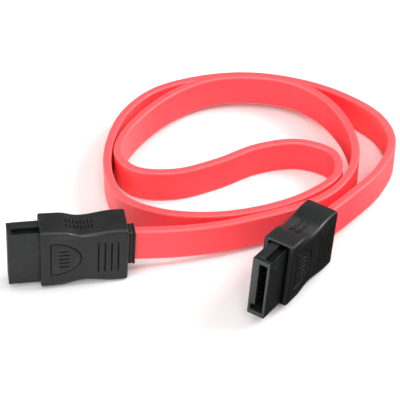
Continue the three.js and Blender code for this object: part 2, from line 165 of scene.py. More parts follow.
# The sky: toward its bright side, and toward the dark beam and how wide that is
SKY_BRIGHT_SIDE = (-0.75, -0.66, 0)
SKY_BEAM = (0, 0.57, 0.82)
SKY_BEAM_FADES = (0.82, 0.95)

# The lamps: name, place from the middle of the loops and size in metres, the setting that holds the
# power and the lamp's share of it
LAMPS = (
    ("overhead", (-0.05, 0.02, 0.55), 0.5, "overhead", 1.0),
    ("front", (-0.42, -0.42, 0.20), 0.3, "front", 1.0),
    ("rim_right", (0.36, 0.06, 0.33), 0.25, "rim", 4.0),
    ("rim_front", (0.10, -0.36, 0.46), 0.12, "rim", 1.0),
)

PICTURE_WIDTH = 400
SENSOR_WIDTH = 36


def plug_lift(side):
    """How far the plug's nose is tipped up, in radians: its tapered edge lies on the floor."""
    taper = math.atan2(HOOD_HALF_FRONT - HOOD_HALF_REAR, HOOD_LENGTH)
    return taper + math.radians(PLUG_PLACES[side]["nose_lift"])


def plug_matrix(side):
    """From the plug's own frame in millimetres to the model's frame in metres."""
    place = PLUG_PLACES[side]
    lift = plug_lift(side)
    height = HOOD_HALF_REAR * math.cos(lift) - HOOD_REAR * math.sin(lift)
    at = Vector((place["at"][0], place["at"][1], height)) + LOOPS_TO_ORIGIN
    turn = Matrix.Rotation(math.radians(place["yaw"]), 4, "Z") @ Matrix.Rotation(-lift, 4, "Y")
    return Matrix.Scale(MM, 4) @ Matrix.Translation(at) @ turn


# Nodes


class Value:
    """A node's output that takes part in arithmetic: each operator adds a Math node."""

    def __init__(self, nodes, socket):
        self.nodes = nodes
        self.socket = socket

    def _math(self, operation, *values):
        return self.nodes.node("ShaderNodeMath", {"operation": operation}, dict(enumerate(values)))[0]

    def __add__(self, other):
        return self._math("ADD", self, other)

    def __radd__(self, other):
        return self._math("ADD", other, self)

    def __sub__(self, other):
        return self._math("SUBTRACT", self, other)

    def __rsub__(self, other):
        return self._math("SUBTRACT", other, self)

    def __mul__(self, other):
        return self._math("MULTIPLY", self, other)

    def __rmul__(self, other):
        return self._math("MULTIPLY", other, self)

    def larger(self, other):
        return self._math("MAXIMUM", self, other)

    def absolute(self):
        return self._math("ABSOLUTE", self)


class Nodes:
    """A node tree, and the one way in which nodes are added to it."""

    def __init__(self, tree):
        self.tree = tree

    def node(self, kind, settings=None, inputs=None):
        """Adds a node, sets it up, fills its inputs and gives back its outputs by place and by name."""
        node = self.tree.nodes.new(kind)
        for name, value in (settings or {}).items():
            setattr(node, name, value)
        for key, value in (inputs or {}).items():
            self.feed(node.inputs[key], value)
        outputs = {}
        for place, output in enumerate(node.outputs):
            outputs[place] = outputs[output.name] = Value(self, output)
        return outputs

    def feed(self, socket, value):
        """Links the socket to a value, or to each value of a list, or else sets it."""
        if isinstance(value, list):
            for one in value:
                self.feed(socket, one)
        elif isinstance(value, Value):
            self.tree.links.new(value.socket, socket)
        else:
            socket.default_value = value

    def dot(self, vector, direction):
        inputs = {0: vector, 1: direction}
        return self.node("ShaderNodeVectorMath", {"operation": "DOT_PRODUCT"}, inputs)["Value"]

    def ramp(self, value, low, high, start=0, end=1, kind="SMOOTHSTEP"):
        """Goes from start to end as the value goes from low to high, with soft ends unless LINEAR."""
        inputs = {"Value": value, "From Min": low, "From Max": high, "To Min": start, "To Max": end}
        return self.node("ShaderNodeMapRange", {"interpolation_type": kind}, inputs)[0]


class Shader(Nodes):
    """One material and its nodes."""

    def __init__(self, name):
        self.material = bpy.data.materials.new(name)
        self.material.use_nodes = True
        super().__init__(self.material.node_tree)
        self.surface = self.tree.nodes["Principled BSDF"]
        coordinates = self.node("ShaderNodeTexCoord")
        self.point = coordinates["Object"]
        self.uv = coordinates["UV"]

    def set(self, **inputs):
        for name, value in inputs.items():
            self.feed(self.surface.inputs[name.replace("_", " ")], value)

    def noise(self, point, scale, detail=2.0, roughness=0.5):
        inputs = {"Vector": point, "Scale": scale, "Detail": detail, "Roughness": roughness}
        return self.node("ShaderNodeTexNoise", None, inputs)[0]

    def parts(self, vector):
        """The vector's X, Y and Z."""
        return self.node("ShaderNodeSeparateXYZ", None, {0: vector})

    def plug_point(self, side):
        """The place along, across and up the plug, in millimetres."""
        rows = plug_matrix(side).inverted()[:3]
        return [self.dot(self.point, tuple(row[:3])) + row[3] for row in rows]

    def between(self, value, rise, fall):
        """1 between the end of the rise and the start of the fall, and 0 outside them."""
        return self.ramp(value, *rise) * (1 - self.ramp(value, *fall))

    def blend(self, factor, first, second):
        """Mixes two colours."""
        inputs = {0: factor, 6: first, 7: second}
        return self.node("ShaderNodeMix", {"data_type": "RGBA"}, inputs)[2]

    def bump(self, height, strength, distance):
        inputs = {"Height": height, "Strength": strength, "Distance": distance}
        return self.node("ShaderNodeBump", None, inputs)[0]

    def shade_recess(self, factor):
        """Mixes in a dull black where the factor is 1, in a recess that no light gets into."""
        dull = self.node("ShaderNodeBsdfPrincipled", None, {
            "Base Color": (0.004, 0.0042, 0.0045, 1), "Roughness": 0.8, "Specular IOR Level": 0.1})
        lit = Value(self, self.surface.outputs[0])
        mix = self.node("ShaderNodeMixShader", None, {0: factor, 1: lit, 2: dull[0]})
        self.feed(self.tree.nodes["Material Output"].inputs["Surface"], mix[0])


def moulded_plastic(shader, colour, worn_and_lit, roughness, grain, polish=0.0, painted_light=0.0):
    """Black moulded plastic: eroded grain, soft blotches in its sheen and paler scuffed patches at random.
    Polish says where the piece is handled smoother, and the last argument where it is painted paler as light,
    both from 0 to 1."""
    blotch = shader.noise(shader.point, 260, 3)
    rub = shader.ramp(shader.noise(shader.point, 700, 4, 0.6), 0.5, 0.8) * 0.5
    fine = shader.noise(shader.point, grain, 2, 0.6)
    shader.set(
        # Paler scuffed patches at random, and paler painted highlights and lit faces where the last argument
        # says
        Base_Color=shader.blend(rub.larger(painted_light), (*colour, 1), (*worn_and_lit, 1)),
        Roughness=roughness + 0.16 * (blotch - 0.5) + 0.06 * (fine - 0.5) - 0.12 * polish,
        Normal=shader.bump(fine, 0.35, 0.00004),
        Specular_IOR_Level=0.5,
    )
    return shader.material


def ribbon_plastic(settings):
    """Soft red jacket with faint lengthwise streaks and a fine satin grain. Its flat edges are painted paler
    as light from above, its round corners carry a painted highlight, and it is painted paler as sheen where
    the loops turn."""
    shader = Shader("ribbon_jacket")
    reach = (shader.parts(shader.uv)["Y"] - 0.5).absolute()
    edge = shader.ramp(reach, *RIM_FADES)
    crest = shader.ramp(reach, *CREST_FADES)
    bend_sheen = shader.ramp((shader.parts(shader.point)["X"] - BENDS_MIDDLE).absolute(), *BENDS_FADE)
    along = shader.node("ShaderNodeMapping", None, {"Vector": shader.uv, "Scale": (6, 90, 1)})[0]
    streak = shader.noise(along, 1, 3)
    cloud = shader.noise(shader.point, 120, 2)
    grain = shader.noise(shader.point, 5200, 2)
    painted_highlight = (*settings.corner_highlight_colour, 1)
    face = shader.blend(cloud, (*settings.face_colour, 1), (*settings.deep_colour, 1))
    # Painted sheen where the loops turn at the far left and right
    face = shader.blend(bend_sheen * BENDS_PAINTED_SHEEN, face, painted_highlight)
    # Painted light: the flat edges paler as lit from above, the round corners a painted highlight
    rim = shader.blend(crest, painted_highlight, (*settings.lit_edge_colour, 1))
    shader.set(
        Base_Color=shader.blend(edge * RIM_PAINTED_LIGHT, face, rim),
        Roughness=settings.roughness + 0.12 * (streak - 0.5) + 0.05 * (grain - 0.5),
        Normal=shader.bump(streak * 0.7 + grain * 0.3, 0.2, 0.00006),
        Subsurface_Weight=0.12,
        Subsurface_Radius=(0.0014, 0.0003, 0.0002),
        Subsurface_Scale=1.0,
        Specular_IOR_Level=0.35,
    )
    return shader.material


def plated_metal(name, colour, roughness):
    """Thin plating on a stamped strip: fine drawn lines and small dull spots."""
    shader = Shader(name)
    dull = shader.ramp(shader.noise(shader.point, 900, 3), 0.45, 0.75)
    fine = shader.noise(shader.point, 4000, 2)
    shader.set(
        Base_Color=shader.blend(dull * 0.4, (*colour, 1), (*(0.6 * c for c in colour), 1)),
        Roughness=roughness + 0.2 * dull,
        Metallic=1.0,
        Normal=shader.bump(fine, 0.2, 0.00002),
    )
    return shader.material


# Mesh helpers


def loft(bm, rings, closed=False):
    """Skins a list of rings that have equal numbers of points, and caps it unless it is closed."""
    made = [[bm.verts.new(point) for point in ring] for ring in rings]
    pairs = list(zip(made, made[1:]))
    if closed:
        pairs.append((made[-1], made[0]))
    count = len(made[0])
    for near, far in pairs:
        for i in range(count):
            j = (i + 1) % count
            bm.faces.new((near[i], near[j], far[j], far[i]))
    if not closed:
        bm.faces.new(list(reversed(made[0])))
        bm.faces.new(made[-1])
    bmesh.ops.recalc_face_normals(bm, faces=bm.faces)
    return made


def rounded_ring(x, deep, high, radius, low=None):
    """A rounded rectangle across the plug at x: deep is its reach along Y, high and low along Z."""
    low = high if low is None else low
    per_corner = 6
    points = []
    for corner in range(4):
        turn = corner * math.pi / 2
        y = (deep - radius) * (1 if corner in (0, 3) else -1)
        z = high - radius if corner in (0, 1) else radius - low
        for step in range(per_corner + 1):
            angle = turn + step / per_corner * math.pi / 2
            points.append(Vector((x, y + radius * math.cos(angle), z + radius * math.sin(angle))))
    return points


def new_piece(name, bm, material, smooth_angle=35):
    """Turns a bmesh into a finished object whose place is in its mesh."""
    piece = hidden_object(name, bm)
    piece.data.materials.append(material)
    bpy.context.scene.collection.objects.link(piece)
    shade(piece.data, smooth_angle)
    return piece


def hidden_object(name, bm):
    """An object outside the scene, which Geometry Nodes can still read."""
    mesh = bpy.data.meshes.new(name)
    bm.to_mesh(mesh)
    bm.free()
    return bpy.data.objects.new(name, mesh)


def shade(mesh, smooth_angle):
    mesh.polygons.foreach_set("use_smooth", [True] * len(mesh.polygons))
    mesh.set_sharp_from_angle(angle=math.radians(smooth_angle))
    mesh.update()


def applied(piece):
    """Puts the result of the piece's modifiers into its mesh and removes them."""
    bpy.context.view_layer.update()
    evaluated = piece.evaluated_get(bpy.context.evaluated_depsgraph_get())
    mesh = bpy.data.meshes.new_from_object(evaluated)
    piece.modifiers.clear()
    old = piece.data
    piece.data = mesh
    mesh.name = piece.name
    bpy.data.meshes.remove(old)


def stand_for(piece, node):
    """Fixes the piece to the cable's one body and lets it stand for a node of the solids."""
    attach(piece, "root")
    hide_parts(node)


def plug_piece(piece, side, node):
    """Sets a piece that was made in the plug's own frame in its place, for a node of the solids."""
    piece.data.transform(plug_matrix(side))
    piece.data.update()
    stand_for(piece, node)


# Ribbon


def smooth_line(points, step):
    """The centripetal curve through the points, sampled evenly at about the given step."""
    samples = 40
    ends = [2 * points[0] - points[1], *points, 2 * points[-1] - points[-2]]
    line = []
    for p0, p1, p2, p3 in zip(ends, ends[1:], ends[2:], ends[3:]):
        gaps = [max((b - a).length ** 0.5, 1e-6) for a, b in ((p0, p1), (p1, p2), (p2, p3))]
        leave = (p1 - p0) / gaps[0] - (p2 - p0) / (gaps[0] + gaps[1]) + (p2 - p1) / gaps[1]
        arrive = (p2 - p1) / gaps[1] - (p3 - p1) / (gaps[1] + gaps[2]) + (p3 - p2) / gaps[2]
        leave *= gaps[1]
        arrive *= gaps[1]
        for k in range(samples):
            t = k / samples
            bend = -3 * p1 + 3 * p2 - 2 * leave - arrive
            twist = 2 * p1 - 2 * p2 + leave + arrive
            line.append(p1 + leave * t + bend * t * t + twist * t ** 3)
    line.append(points[-1])
    return evenly(line, step)


def evenly(line, step):
    """The same line with its points spread evenly, about a step apart."""
    lengths = [0.0]
    for a, b in zip(line, line[1:]):
        lengths.append(lengths[-1] + (b - a).length)
    count = max(2, round(lengths[-1] / step))
    out = []
    i = 0
    for k in range(count + 1):
        want = lengths[-1] * k / count
        while i < len(line) - 2 and lengths[i + 1] < want:
            i += 1
        share = (want - lengths[i]) / max(lengths[i + 1] - lengths[i], 1e-9)
        out.append(line[i].lerp(line[i + 1], min(max(share, 0.0), 1.0)))
    return out


def ribbon_section(settings):
    """The section's points as (across the thickness, up the width): flat faces with a faint swell
    over each of the two conductor pairs, flat edges and small round corners."""
    high = settings.width / 2
    deep = settings.thickness / 2
    radius = settings.corner
    rows, turns = 22, 6
    points = []
    for face in (1, -1):
        for i in range(rows + 1):
            share = i / rows * 2 - 1
            swell = -settings.swell * math.cos(2 * math.pi * share) * min(1.0, (1 - abs(share)) * 6)
            points.append((face * (deep + swell), face * share * (high - radius)))
        for middle, start in ((deep - radius, 0), (radius - deep, math.pi / 2)):
            for k in range(1, turns + 1):
                angle = start + k / (turns + 1) * math.pi / 2
                points.append((face * (middle + radius * math.cos(angle)),
                               face * (high - radius + radius * math.sin(angle))))
    return points


def ribbon_path():
    """The ring centres in metres, from inside the left plug to inside the right one."""
    ends = []
    for side in SIDES:
        matrix = plug_matrix(side)
        ends.append([matrix @ Vector((x, 0, 0)) for x in (RIBBON_INSIDE, 0)])
    way = [(Vector(point) + LOOPS_TO_ORIGIN) * MM for point in ROUTE]
    return smooth_line([*ends[0], *way, ends[1][1], ends[1][0]], 0.0009)


class RibbonSettings(bpy.types.PropertyGroup):
    width: bpy.props.FloatProperty(
        name="Width", description="Width of the flat ribbon", default=0.0085, unit="LENGTH")
    thickness: bpy.props.FloatProperty(
        name="Thickness", description="Thickness of the flat ribbon", default=0.00195, unit="LENGTH")
    corner: bpy.props.FloatProperty(
        name="Corner", description="Rounding of the ribbon's corners", default=0.0005, unit="LENGTH")
    swell: bpy.props.FloatProperty(
        name="Swell", description="How far the faces swell over each conductor pair",
        default=0.00002, unit="LENGTH")
    face_colour: bpy.props.FloatVectorProperty(
        name="Face colour", description="Colour of the broad faces", subtype="COLOR",
        default=(1.0, 0.067, 0.082))
    deep_colour: bpy.props.FloatVectorProperty(
        name="Deep colour", description="Slightly deeper red in the clouding", subtype="COLOR",
        default=(0.985, 0.057, 0.072))
    # Painted highlight on the round corners, also used for the painted sheen where the loops turn
    corner_highlight_colour: bpy.props.FloatVectorProperty(
        name="Corner colour", description="Colour of the thin round corners", subtype="COLOR",
        default=(1.0, 0.15, 0.155))
    # The flat edges, painted paler than the faces as light from above
    lit_edge_colour: bpy.props.FloatVectorProperty(
        name="Edge colour", description="Colour of the flat edges", subtype="COLOR",
        default=(0.97, 0.085, 0.096))
    roughness: bpy.props.FloatProperty(
        name="Roughness", description="How dull the jacket is", default=0.42, min=0, max=1, subtype="FACTOR")


class CABLE_OT_ribbon(bpy.types.Operator):
    """Makes the flat ribbon along its route"""
    bl_idname = "cable.ribbon"
    bl_label = "Ribbon"

    def execute(self, context):
        settings = context.scene.cable_ribbon
        path = ribbon_path()
        section = ribbon_section(settings)
        bm = bmesh.new()
        rings = []
        for i, centre in enumerate(path):
            ahead = path[min(i + 1, len(path) - 1)] - path[max(i - 1, 0)]
            ahead.normalize()
            up = (Vector((0, 0, 1)) - ahead * ahead.z).normalized()
            side = ahead.cross(up)
            rings.append([centre + side * deep + up * high for deep, high in section])
        made = loft(bm, rings)
        self.lay_uv(bm, made, section)
        piece = new_piece("ribbon", bm, ribbon_plastic(settings), 60)
        length = sum((b - a).length for a, b in zip(path, path[1:]))
        stand_for(piece, "flat_cable")
        return {"FINISHED"}

    def lay_uv(self, bm, made, section):
        """U runs along the ribbon from 0 to its reach, and V up its width from 0 to 1."""
        reach = 40
        layer = bm.loops.layers.uv.new("UVMap")
        half = max(high for _, high in section)
        place = {}
        for i, ring in enumerate(made):
            for vert, (_, high) in zip(ring, section):
                place[vert] = (i / len(made) * reach, high / half / 2 + 0.5)
        for face in bm.faces:
            for loop in face.loops:
                loop[layer].uv = place[loop.vert]


# Hood


def bezier(p0, p1, p2, p3, t):
    s = 1 - t
    return p0 * s ** 3 + 3 * p1 * s * s * t + 3 * p2 * s * t * t + p3 * t ** 3


def hood_profile():
    """(place along the plug, half height) at the stations of the hood, from its rear to its front."""
    rear_bend = HOOD_REAR + HOOD_FLAT_REAR
    front_bend = HOOD_FRONT - HOOD_FLAT_FRONT
    rear_steps, waist_steps, front_steps = 8, 18, 10

    def rise(x):
        return HOOD_HALF_FRONT + (HOOD_HALF_REAR - HOOD_HALF_FRONT) * (HOOD_FRONT - x) / HOOD_LENGTH

    places = [HOOD_REAR + HOOD_FLAT_REAR * k / rear_steps for k in range(rear_steps)]
    stations = [(x, rise(x)) for x in places]
    for start, end, low, high in (
        (rear_bend, HOOD_WAIST, rise(rear_bend), HOOD_HALF_WAIST),
        (HOOD_WAIST, front_bend, HOOD_HALF_WAIST, rise(front_bend)),
    ):
        ease = (end - start) * WAIST_EASE
        for k in range(waist_steps):
            t = k / waist_steps
            x = bezier(start, start + ease, end - ease, end, t)
            stations.append((x, bezier(low, low, high, high, t)))
    places = [front_bend + HOOD_FLAT_FRONT * k / front_steps for k in range(front_steps + 1)]
    return stations + [(x, rise(x)) for x in places]


def hood_depth(x):
    """Half the hood's thickness."""
    share = (x - HOOD_REAR) / HOOD_LENGTH
    return HOOD_DEEP_REAR + (HOOD_DEEP_FRONT - HOOD_DEEP_REAR) * share


def hood_low(x, high):
    """The lower edge stays inside the solid's by a little, more so toward the nose."""
    share = (x - HOOD_REAR) / HOOD_LENGTH
    return high - LOWER_EDGE_REAR - (LOWER_EDGE_FRONT - LOWER_EDGE_REAR) * share


def hood_body(settings):
    """The gripped moulding as one closed skin: outside, front mouth, inside and rear mouth."""
    edge = settings.edge_radius / MM
    end = settings.end_radius / MM
    steps = 5

    def outside(x, high, inset=0.0):
        return rounded_ring(x, hood_depth(x) - inset, high - inset, edge, hood_low(x, high - inset))

    def rounding(face, inward, high, step):
        angle = step / steps * math.pi / 2
        return outside(face + inward * end * (1 - math.cos(angle)), high, end * (1 - math.sin(angle)))

    rings = [rounding(HOOD_REAR, 1, HOOD_HALF_REAR, step) for step in range(steps)]
    rings += [outside(x, high) for x, high in hood_profile() if HOOD_REAR + end <= x <= HOOD_FRONT - end]
    rings += [rounding(HOOD_FRONT, -1, HOOD_HALF_FRONT, step) for step in range(steps, -1, -1)]
    nose_rear = HOOD_FRONT - NOSE_ROOM_LENGTH
    flange_front = HOOD_REAR + FLANGE_ROOM_FRONT
    flange_rear = HOOD_REAR + FLANGE_ROOM_REAR
    for x, room in (
        (HOOD_FRONT, NOSE_MOUTH), (HOOD_FRONT - MOUTH_BEVEL, NOSE_ROOM), (nose_rear, NOSE_ROOM),
        (nose_rear, BODY_ROOM), (flange_front, BODY_ROOM), (flange_front, FLANGE_ROOM),
        (flange_rear, FLANGE_ROOM), (flange_rear, REAR_MOUTH), (HOOD_REAR, REAR_MOUTH),
    ):
        rings.append(rounded_ring(x, *room))
    bm = bmesh.new()
    loft(bm, rings, closed=True)
    return bm


def groove_profile(width, depth, share=1.0):
    """A round groove's section as (across, out of the face), flared where it meets the face. The share
    makes it narrower and shallower."""
    half = width / 2 * share
    flare = GROOVE_FLARE * share
    deep = depth * share
    points = [(half + flare + 0.001, CUTTER_OUT), (half + flare, 0.004)]
    for k in range(1, 4):
        angle = k / 3 * math.pi / 2
        points.append((half + flare * (1 - math.sin(angle)), -flare * (1 - math.cos(angle))))
    for k in range(1, 6):
        angle = k / 6 * math.pi / 2
        points.append((half * math.cos(angle), -flare - (deep - flare) * math.sin(angle)))
    return [*points, (0.0, -deep), *((-across, out) for across, out in reversed(points))]


def groove_cutter(length, width, depth):
    """A straight cutter with ball ends, lying along Z on a face whose outside is +Y."""
    steps = 5
    near = []
    for step in range(steps, -1, -1):
        angle = step / steps * math.pi / 2
        near.append((GROOVE_END * (1 - math.sin(angle)) - length / 2, max(0.05, math.cos(angle))))
    rings = []
    for z, share in near + [(-z, share) for z, share in reversed(near)]:
        rings.append([Vector((across, out, z)) for across, out in groove_profile(width, depth, share)])
    bm = bmesh.new()
    loft(bm, rings)
    return bm


def panel_path(settings):
    """The D-shaped outline in the face's own plane as (along, up)."""
    length = settings.panel_length / MM
    high = settings.panel_height / MM / 2
    turns, rises = 48, 16
    points = []
    for k in range(turns + 1):
        angle = math.pi / 2 + k / turns * math.pi
        points.append(Vector((length * math.cos(angle), high * math.sin(angle))))
    points += [Vector((0, -high + 2 * high * k / rises)) for k in range(1, rises)]
    return points


def panel_cutter(settings):
    """A cutter that runs round the D-shaped outline, on a face whose outside is +Y."""
    path = panel_path(settings)
    width = settings.groove_width / MM * OUTLINE_SHARE
    depth = settings.groove_depth / MM * OUTLINE_SHARE
    rings = []
    for i, point in enumerate(path):
        ahead = (path[(i + 1) % len(path)] - path[i - 1]).normalized()
        before = (point - path[i - 1]).normalized()
        outward = Vector((ahead.y, -ahead.x)) / max(0.5, abs(before.dot(ahead)))
        rings.append([
            Vector((point.x + outward.x * across, out, point.y + outward.y * across))
            for across, out in groove_profile(width, depth)
        ])
    bm = bmesh.new()
    loft(bm, rings, closed=True)
    return bm


def relief_tree():
    """Geometry nodes that cut the grip grooves, the D-shaped outline and its bars into both broad faces,
    and two rows of ticks into the top."""
    tree = bpy.data.node_groups.new("hood_relief", "GeometryNodeTree")
    tree.interface.new_socket("Geometry", in_out="OUTPUT", socket_type="NodeSocketGeometry")
    for name, kind in (
        ("Geometry", "Geometry"), ("Material", "Material"), ("Tilt", "Float"),
        ("Groove", "Object"), ("Grooves", "Int"), ("Groove Pitch", "Float"), ("Groove Place", "Vector"),
        ("Bar", "Object"), ("Bars", "Int"), ("Bar Pitch", "Float"), ("Bar Place", "Vector"),
        ("Tick", "Object"), ("Ticks", "Int"), ("Tick Pitch", "Float"), ("Tick Row Gap", "Float"),
        ("Tick Place", "Vector"), ("Outline", "Object"), ("Outline Place", "Vector"),
    ):
        tree.interface.new_socket(name, in_out="INPUT", socket_type="NodeSocket" + kind)
    nodes = Nodes(tree)
    given = nodes.node("NodeGroupInput")

    def geometry(kind, inputs):
        return nodes.node("GeometryNode" + kind, None, inputs)[0]

    def shape(name):
        return nodes.node("GeometryNodeObjectInfo", None, {"Object": given[name]})["Geometry"]

    def vector(**parts):
        return nodes.node("ShaderNodeCombineXYZ", None, parts)[0]

    def moved(mesh, place, **turn):
        return geometry("Transform", {"Geometry": mesh, "Translation": place, **turn})

    def repeated(points, name):
        return geometry("InstanceOnPoints", {"Points": points, "Instance": shape(name)})

    def realized(mesh):
        return geometry("RealizeInstances", {"Geometry": mesh})

    row = geometry("MeshLine", {"Count": given["Grooves"], "Offset": vector(X=given["Groove Pitch"])})
    column = geometry("MeshLine", {"Count": given["Bars"], "Offset": vector(Z=given["Bar Pitch"])})
    half_column = vector(Z=(given["Bars"] - 1) * given["Bar Pitch"] * -0.5)
    on_faces = (
        (repeated(row, "Groove"), "Groove Place"), (shape("Outline"), "Outline Place"),
        (repeated(moved(column, half_column), "Bar"), "Bar Place"),
    )
    grid = geometry("MeshGrid", {
        "Size X": (given["Ticks"] - 1) * given["Tick Pitch"], "Size Y": given["Tick Row Gap"],
        "Vertices X": given["Ticks"], "Vertices Y": 2})
    fall = nodes.node("GeometryNodeRaycast", None, {
        "Target Geometry": given["Geometry"], "Ray Direction": (0, 0, -1)})
    landed = geometry("SetPosition", {
        "Geometry": moved(grid, given["Tick Place"]), "Position": fall["Hit Position"]})
    cutters = [realized(repeated(landed, "Tick"))]
    for side, turn in ((1, 0.0), (-1, math.pi)):
        tilt = vector(X=turn, Z=given["Tilt"] * side)
        for marks, place in on_faces:
            inputs = {0: given[place], 1: (1, side, 1)}
            there = nodes.node("ShaderNodeVectorMath", {"operation": "MULTIPLY"}, inputs)[0]
            cutters.append(realized(moved(marks, there, Rotation=tilt)))
    cut = nodes.node("GeometryNodeMeshBoolean", {"operation": "DIFFERENCE", "solver": "EXACT"}, {
        "Mesh 1": given["Geometry"], "Mesh 2": geometry("JoinGeometry", {0: cutters})})["Mesh"]
    painted = geometry("SetMaterial", {"Geometry": realized(cut), "Material": given["Material"]})
    nodes.node("NodeGroupOutput", None, {0: painted})
    return tree


def add_nodes(piece, tree, **values):
    """Adds a Geometry Nodes modifier and sets its inputs by their identifiers."""
    modifier = piece.modifiers.new(tree.name, "NODES")
    modifier.node_group = tree
    ids = {item.name: item.identifier for item in tree.interface.items_tree
           if item.item_type == "SOCKET" and item.in_out == "INPUT"}
    for name, value in values.items():
        modifier[ids[name.replace("_", " ")]] = value


class HoodSettings(bpy.types.PropertyGroup):
    edge_radius: bpy.props.FloatProperty(
        name="Edge radius", description="Rounding of the long edges", default=0.0008, unit="LENGTH")
    end_radius: bpy.props.FloatProperty(
        name="End radius", description="Rounding of the end edges", default=0.00035, unit="LENGTH")
    grooves: bpy.props.IntProperty(
        name="Grip grooves", description="Grooves on each broad face", default=4, min=1, max=8)
    groove_pitch: bpy.props.FloatProperty(
        name="Groove pitch", description="Distance between grooves", default=0.00147, unit="LENGTH")
    groove_length: bpy.props.FloatProperty(
        name="Groove length", description="Length of each groove", default=0.0086, unit="LENGTH")
    groove_width: bpy.props.FloatProperty(
        name="Groove width", description="Width of each groove", default=0.00028, unit="LENGTH")
    groove_depth: bpy.props.FloatProperty(
        name="Groove depth", description="Depth of each groove", default=0.00042, unit="LENGTH")
    panel_length: bpy.props.FloatProperty(
        name="Panel length", description="Length of the D-shaped outline", default=0.0067, unit="LENGTH")
    panel_height: bpy.props.FloatProperty(
        name="Panel height", description="Height of the D-shaped outline", default=0.0092, unit="LENGTH")
    bars: bpy.props.IntProperty(
        name="Bars", description="Plain bars inside the D-shaped outline", default=5, min=1, max=9)
    bar_length: bpy.props.FloatProperty(
        name="Bar length", description="Length of each bar", default=0.0024, unit="LENGTH")
    bar_pitch: bpy.props.FloatProperty(
        name="Bar pitch", description="Distance between bars", default=0.0011, unit="LENGTH")
    ticks: bpy.props.IntProperty(
        name="Ticks", description="Ticks in each of the two rows on the top", default=8, min=2, max=16)
    tick_length: bpy.props.FloatProperty(
        name="Tick length", description="Length of each tick", default=0.0012, unit="LENGTH")
    tick_pitch: bpy.props.FloatProperty(
        name="Tick pitch", description="Distance between ticks", default=0.0008, unit="LENGTH")
    tick_row_gap: bpy.props.FloatProperty(
        name="Tick rows", description="Distance between the two rows", default=0.0016, unit="LENGTH")
    mark_width: bpy.props.FloatProperty(
        name="Mark width", description="Width of bars and ticks", default=0.0003, unit="LENGTH")
    mark_depth: bpy.props.FloatProperty(
        name="Mark depth", description="Depth of bars and ticks", default=0.00046, unit="LENGTH")
    colour: bpy.props.FloatVectorProperty(
        name="Colour", description="Colour of the black plastic", subtype="COLOR",
        default=(0.0035, 0.0038, 0.0043))
    # Paler colour: scuffed patches at random, and painted highlights and lit faces
    worn_and_lit_colour: bpy.props.FloatVectorProperty(
        name="Rubbed colour", description="Colour of its paler patches", subtype="COLOR",
        default=(0.017, 0.017, 0.0175))
    roughness: bpy.props.FloatProperty(
        name="Roughness", description="How dull the plastic is", default=0.42, min=0, max=1, subtype="FACTOR")


